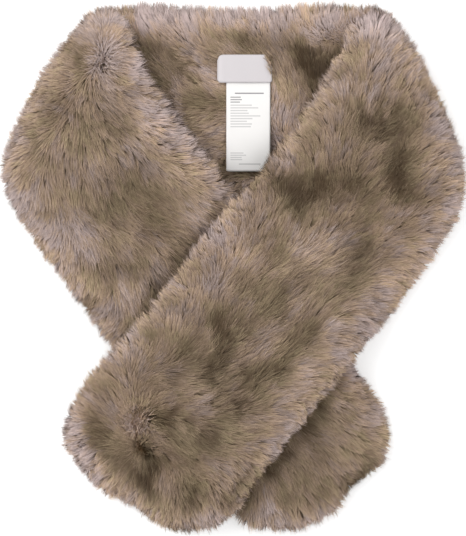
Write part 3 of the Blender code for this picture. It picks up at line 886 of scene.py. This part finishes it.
def grow(name, roots, tree, values):
    """The pile that the fur tree grows on a backing's outside, as a plain mesh."""
    pile = link(name, roots.data.copy())
    modifier = pile.modifiers.new("Fur", "NODES")
    modifier.node_group = tree
    for item in tree.interface.items_tree:
        if item.in_out == "INPUT" and item.name in values:
            modifier[item.identifier] = values[item.name]
    pile = plain(pile)
    mesh = pile.data
    normals = np.zeros((len(mesh.vertices), 3), np.float32)
    mesh.vertex_normals.foreach_get("vector", normals.ravel())
    outward = np.zeros_like(normals)
    mesh.attributes["outward"].data.foreach_get("vector", outward.ravel())
    mesh.normals_split_custom_set_from_vertices(unit(normals + SMOOTH_NORMAL * unit(outward)))
    for title in NOTES:
        if title in mesh.attributes:
            mesh.attributes.remove(mesh.attributes[title])
    return pile


# -------- materials


def new_material(name):
    material = bpy.data.materials.new(name)
    material.use_nodes = True
    return material, material.node_tree, material.node_tree.nodes["Principled BSDF"]


def dyed_modacrylic_pile():
    """Modacrylic faux fur, dyed and tip-sheared: brown roots that turn late into greyish
    tips, with single hairs more olive, reddish or mauve. How far up a strand its tip colour
    reaches also carries painted shade and painted light, through its UV map. It has a soft
    low gloss."""
    fur = bpy.context.scene.wrap_fur
    material, tree, surface = new_material("dyed_modacrylic_pile")
    spot = put(tree, "ShaderNodeUVMap", uv_map=STRAND_MAP)
    spot = put(tree, "ShaderNodeSeparateXYZ", (spot,)).outputs
    tip = fur.olive_colour
    for start, dye in ((0.0, fur.reddish_colour), (0.5, fur.mauve_colour)):
        part = {"Value": spot["X"], "From Min": start, "From Max": start + 0.5}
        share = put(tree, "ShaderNodeMapRange", part)
        tip = put(tree, "ShaderNodeMix", {"Factor": share, "A": tip, "B": dye}, data_type="RGBA")
    late = put(tree, "ShaderNodeMath", (spot["Y"], TIP_POWER), "POWER")
    ends = {"Factor": late, "A": fur.root_colour, "B": tip}
    mixed = put(tree, "ShaderNodeMix", ends, data_type="RGBA")
    plug(tree, surface, {"Base Color": mixed, "Roughness": 0.55, "Specular IOR Level": 0.25})
    return material


def knitted_backing():
    """The fur's knitted ground, brushed on its outside: mid brown, woolly and dull."""
    material, tree, surface = new_material("knitted_backing")
    place = put(tree, "ShaderNodeTexCoord").outputs["Object"]
    fuzz = put(tree, "ShaderNodeTexNoise", {"Vector": place, "Scale": 1 / FUZZ_SIZE, "Detail": 4.0})
    brown = bpy.context.scene.wrap_fur.backing_colour
    dark = [FUZZ_DARK * part for part in brown[:3]] + [1.0]
    mixed = put(tree, "ShaderNodeMix", {"Factor": fuzz, "A": dark, "B": brown}, data_type="RGBA")
    bump = put(tree, "ShaderNodeBump", {"Height": fuzz, "Distance": 1 * MM, "Strength": 0.8})
    plug(tree, surface, {"Base Color": mixed, "Normal": bump})
    plug(tree, surface, {"Roughness": 0.9, "Specular IOR Level": 0.1})
    return material


def printed(tree, across, down, block):
    """How strong the ink of a block of bars is at a place on a label."""
    add, number = partial(put, tree), "ShaderNodeMath"
    line = add(number, (down, block.top), "SUBTRACT")
    line = add(number, (line, block.pitch), "DIVIDE")
    order = add(number, (line,), "FLOOR")
    half = (block.lines - 1) / 2
    inside = add(number, (order, half, half + 0.1), "COMPARE")  # from the first to the last
    within = add(number, (line,), "FRACT")
    bar = add(number, (within, BAR_SHARE), "LESS_THAN")
    draw = add("ShaderNodeTexWhiteNoise", {"W": order}, noise_dimensions="1D")
    end = add(number, (draw, -block.ragged, block.right), "MULTIPLY_ADD")
    begun = add(number, (across, block.left), "GREATER_THAN")
    unended = add(number, (across, end), "LESS_THAN")
    ink = block.ink
    for share in (inside, bar, begun, unended):
        ink = add(number, (ink, share), "MULTIPLY")
    return ink


def woven_satin(label):
    """Polyester satin ribbon, woven with a fine rib across and ironed flat: white or pale
    grey, with a soft sheen along the rib. Its print is plain bars of grey ink."""
    labels = bpy.context.scene.wrap_labels
    material, tree, surface = new_material(label.name.replace("cloth", "satin"))
    spot = put(tree, "ShaderNodeUVMap", uv_map="Cloth")
    across, down = put(tree, "ShaderNodeSeparateXYZ", (spot,)).outputs[:2]
    ink = put(tree, "ShaderNodeValue")
    ink.outputs[0].default_value = 0.0
    for block in label.print:
        more = printed(tree, across, down, block)
        ink = put(tree, "ShaderNodeMath", (ink, more), "ADD")
    satin = getattr(labels, label.name.split("_")[0] + "_colour")
    ends = {"Factor": ink, "A": satin, "B": labels.ink_colour}
    mixed = put(tree, "ShaderNodeMix", ends, data_type="RGBA")
    # The real rib is about 0.2 mm, which is too fine to show, so it is drawn coarser.
    bands = {"Vector": spot, "Scale": WAVE_PERIOD / SATIN_RIB, "Distortion": 0.4, "Detail": 1.0}
    rib = put(tree, "ShaderNodeTexWave", bands, bands_direction="Y").outputs["Fac"]
    bump = put(tree, "ShaderNodeBump", {"Height": rib, "Distance": 0.1 * MM, "Strength": 0.3})
    plug(tree, surface, {"Base Color": mixed, "Normal": bump})
    plug(tree, surface, {"Roughness": 0.42, "Specular IOR Level": 0.4})
    return material


def lit_acrylic_floor():
    """A matt white acrylic sheet, lit from beneath, so that shadows on it stay faint."""
    material, tree, surface = new_material("lit_acrylic_floor")
    plug(tree, surface, {"Base Color": linear("F4F4F4"), "Roughness": 0.9})
    plug(tree, surface, {"Emission Color": linear("FFFFFF"), "Emission Strength": FLOOR_GLOW})
    return material


# -------- labels


class LabelForm:
    """A label's upper face: its corners on a grid in the plan, from its solid's upper
    face, with its bends pressed in and its corners rounded."""

    def __init__(self, label):
        low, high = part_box(label.node)
        self.low, self.high = np.array(low), np.array(high)
        self.size = (self.high - self.low)[:2]
        columns, rows = np.round(self.size / LABEL_CELL).astype(int)
        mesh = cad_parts[label.node].data
        solid = BVHTree.FromPolygons(
            [v.co for v in mesh.vertices], [list(p.vertices) for p in mesh.polygons]
        )
        chart = np.zeros((rows + 1, columns + 1, 2))
        chart[..., 0] = np.linspace(0, 1, columns + 1)
        chart[..., 1] = np.linspace(0, 1, rows + 1)[:, None]
        chart *= self.size
        self.corners = np.zeros((rows + 1, columns + 1, 3))
        self.corners[..., :2] = self.low[:2] + chart
        for corner in self.corners.reshape(-1, 3):
            x, y = np.clip(corner[:2], self.low[:2] + LABEL_EDGE, self.high[:2] - LABEL_EDGE)
            corner[2] = solid.ray_cast(Vector((x, y, 1.0)), Vector((0, 0, -1)))[0].z
        self.from_top = chart * (1, -1) + (0, self.size[1])
        for bend in label.bends:
            turn = math.radians(bend.angle)
            away = self.from_top / MM - (bend.x, bend.y)
            aside = away @ (-math.sin(turn), math.cos(turn)) / bend.width
            self.corners[..., 2] -= bend.depth * MM * np.exp(-(aside**2))
        self.round_corners(label.radii, chart[..., 0])

    def round_corners(self, radii, from_left):
        """Draws each column in towards the label's middle, near its left and right ends."""
        half = self.size[1] / 2
        from_middle = self.corners[..., 1] - (self.low[1] + half)
        from_right = self.size[0] - from_left
        left, right = (np.where(from_middle > 0, *pair) * MM for pair in (radii[:2], radii[2:]))
        radius = np.where(from_left < from_right, left, right)
        short = np.maximum(radius - np.minimum(from_left, from_right), 0)
        drawn = radius - np.sqrt(radius**2 - short**2)
        self.corners[..., 1] -= from_middle * drawn / half

    def height(self, places):
        """The height of the label's upper face at places in the plan."""
        rows, columns = self.corners.shape[:2]
        spot = (places - self.low[:2]) / self.size * (columns - 1, rows - 1)
        spot = np.clip(spot, 0, (columns - 1.001, rows - 1.001))  # inside the last cell
        column, row = spot.astype(int)[..., 0], spot.astype(int)[..., 1]
        across, up = np.moveaxis(spot % 1, -1, 0)
        heights = self.corners[..., 2]
        lower = heights[row, column] * (1 - across) + heights[row, column + 1] * across
        upper = heights[row + 1, column] * (1 - across) + heights[row + 1, column + 1] * across
        return lower * (1 - up) + upper * up


def make_label_cloth(label):
    """A label as a thin woven sheet on its solid's form."""
    form = LabelForm(label)
    rows, columns = form.corners.shape[:2]
    numbers = np.arange(rows * columns).reshape(rows, columns)
    faces = np.stack([numbers[:-1, :-1], numbers[:-1, 1:], numbers[1:, 1:], numbers[1:, :-1]], 2)
    faces = faces.reshape(-1, 4)
    mesh = bpy.data.meshes.new(label.name)
    mesh.from_pydata(form.corners.reshape(-1, 3), [], faces.tolist())
    chart = mesh.uv_layers.new(name="Cloth")
    chart.data.foreach_set("uv", form.from_top.reshape(-1, 2)[faces.ravel()].ravel() / MM)
    mesh.materials.append(woven_satin(label))
    mesh.shade_smooth()
    return as_cloth(link(label.name, mesh), bpy.context.scene.wrap_labels.thickness)


def tuck(fur, corners, forms):
    """Lays the strands that cross a label's outline under it, but those that grow above
    it, or past its covered end, over it. Each strand has a number of corners, of which
    the first is its root."""
    thickness = bpy.context.scene.wrap_labels.thickness
    mesh = fur.data
    places = np.zeros((len(mesh.vertices), 3), np.float32)
    mesh.vertices.foreach_get("co", places.ravel())
    strands = places.reshape(-1, corners, 3)
    for label, form in forms:
        inside = (strands[..., :2] > form.low[:2]) & (strands[..., :2] < form.high[:2])
        inside = inside.all(2)
        crosses = inside.any(1, keepdims=True)
        root = strands[:, 0]
        past = (root[:, 0] - form.low[0]) / MM - label.covered_end
        past += (root[:, 1] - form.high[1]) / MM * label.covered_slant
        above = (root[:, 2] > form.height(root[:, :2]) + CLEAR_OVER) | (past > 0)
        top = form.height(strands[..., :2])
        layer = np.arange(len(strands))[:, None] % OVER_LAYERS + 1
        z = strands[..., 2]
        over = np.where(inside, np.maximum(z, top + layer * LABEL_GAP), z)
        under = np.where(crosses, np.minimum(z, top - thickness - LABEL_GAP), z)
        strands[..., 2] = np.where(above[:, None], over, under)
    mesh.vertices.foreach_set("co", places.ravel())
    mesh.update()


# -------- the studio


def make_floor():
    mesh = bpy.data.meshes.new("floor")
    size = FLOOR_SIZE / 2
    corners = [(-size, -size, 0), (size, -size, 0), (size, size, 0), (-size, size, 0)]
    mesh.from_pydata(corners, [], [(0, 1, 2, 3)])
    mesh.materials.append(lit_acrylic_floor())
    floor = link("floor", mesh)
    floor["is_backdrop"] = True


def make_lights():
    for name, place, size, power in LIGHTS:
        light = bpy.data.lights.new(name, "AREA")
        light.shape = "DISK"
        light.size = size
        light.energy = power
        lamp = link(name, light)
        lamp.location = place
        lamp.rotation_euler = (-Vector(place)).to_track_quat("-Z", "Y").to_euler()
    world = bpy.data.worlds.new("studio")
    world.use_nodes = True
    sky = world.node_tree.nodes["Background"].inputs
    sky["Color"].default_value = (1.0, 1.0, 1.0, 1.0)
    sky["Strength"].default_value = SKY_STRENGTH
    bpy.context.scene.world = world


def make_camera():
    """Straight above the wrap, far off and with a long lens."""
    camera = bpy.data.cameras.new("camera")
    camera.sensor_width = 36.0
    camera.lens = camera.sensor_width * (CAMERA_HEIGHT - FUR_PLANE) / VIEW_HEIGHT
    camera.clip_end = 20.0
    viewer = link("camera", camera)
    viewer.location = (0.0, VIEW_MIDDLE, CAMERA_HEIGHT)
    bpy.context.scene.camera = viewer


# -------- operators


class WRAP_OT_fur(bpy.types.Operator):
    """Makes the three backing tubes and grows their underfur, guard hair and long hair"""

    bl_idname = "wrap.fur"
    bl_label = "Backing and fur"

    def execute(self, context):
        pile, ground = dyed_modacrylic_pile(), knitted_backing()
        tree = make_fur_tree()
        settings = context.scene.wrap_fur
        strands = {coat: make_strand(coat.name + "_strand", coat.widths) for coat in COATS}
        models = {s.node: merged_solid(s.node) for s in STRETCHES}
        for stretch in STRETCHES:
            shrink_to_backing(models[stretch.node], stretch.inset)
        cloth = union_tree(models.values())
        forms = [(label, LabelForm(label)) for label in LABELS]
        for stretch in STRETCHES:
            model = models[stretch.node]
            part = stretch.node.split("_")[0] + "_"
            backing = make_backing(part + "backing", model, ground)
            roots = make_roots("roots", model, stretch, cloth)
            for coat in COATS:
                own = coat._asdict().items()
                values = {title.replace("_", " ").title(): value for title, value in own}
                values |= {
                    "Strand": strands[coat],
                    "Finish": pile,
                    "Density": coat.density * settings.density,
                    "Length": getattr(settings, coat.name + "_length"),
                    "Tuft Size": settings.tuft_size,
                    "Lock Size": settings.lock_size,
                    "Swirl": SWIRL,
                }
                fur = grow(part + coat.name, roots, tree, values)
                tuck(fur, 2 * len(coat.widths) + 2, forms)
                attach(fur, BODY)
            bpy.data.objects.remove(roots)
            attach(backing, BODY)
            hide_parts(stretch.node)
        for strand in strands.values():
            bpy.data.objects.remove(strand)
        return {"FINISHED"}


class WRAP_OT_labels(bpy.types.Operator):
    """Makes the neck label and the care label"""

    bl_idname = "wrap.labels"
    bl_label = "Labels"

    def execute(self, context):
        for label in LABELS:
            cloth = make_label_cloth(label)
            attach(cloth, BODY)
            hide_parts(label.node)
        return {"FINISHED"}


class WRAP_OT_stage(bpy.types.Operator):
    """Makes the studio floor, the lights and the camera"""

    bl_idname = "wrap.stage"
    bl_label = "Studio"

    def execute(self, context):
        make_floor()
        make_lights()
        make_camera()
        bpy.context.scene.view_settings.view_transform = "Standard"
        return {"FINISHED"}


class WRAP_PT_panel(bpy.types.Panel):
    bl_label = "Fur Collar Wrap"
    bl_idname = "WRAP_PT_panel"
    bl_space_type = "VIEW_3D"
    bl_region_type = "UI"
    bl_category = "Wrap"

    def draw(self, context):
        self.layout.operator(WRAP_OT_stage.bl_idname)
        for operator, settings in (
            (WRAP_OT_fur, context.scene.wrap_fur),
            (WRAP_OT_labels, context.scene.wrap_labels),
        ):
            box = self.layout.box()
            for name in type(settings).__annotations__:
                box.prop(settings, name)
            box.operator(operator.bl_idname)


OPERATORS = (WRAP_OT_fur, WRAP_OT_labels, WRAP_OT_stage)
CLASSES = (WRAP_PG_fur, WRAP_PG_labels, *OPERATORS, WRAP_PT_panel)


def register():
    for kind in CLASSES:
        bpy.utils.register_class(kind)
    bpy.types.Scene.wrap_fur = bpy.props.PointerProperty(type=WRAP_PG_fur)
    bpy.types.Scene.wrap_labels = bpy.props.PointerProperty(type=WRAP_PG_labels)


def unregister():
    del bpy.types.Scene.wrap_labels
    del bpy.types.Scene.wrap_fur
    for kind in reversed(CLASSES):
        bpy.utils.unregister_class(kind)


def main():
    register()
    bpy.ops.wrap.stage()
    bpy.ops.wrap.fur()
    bpy.ops.wrap.labels()
    sizes = {"cad": CAD_BOX, "visual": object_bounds()}
    sizes = {name: [list(corner) for corner in box] for name, box in sizes.items()}


if __name__ == "__main__":
    main()
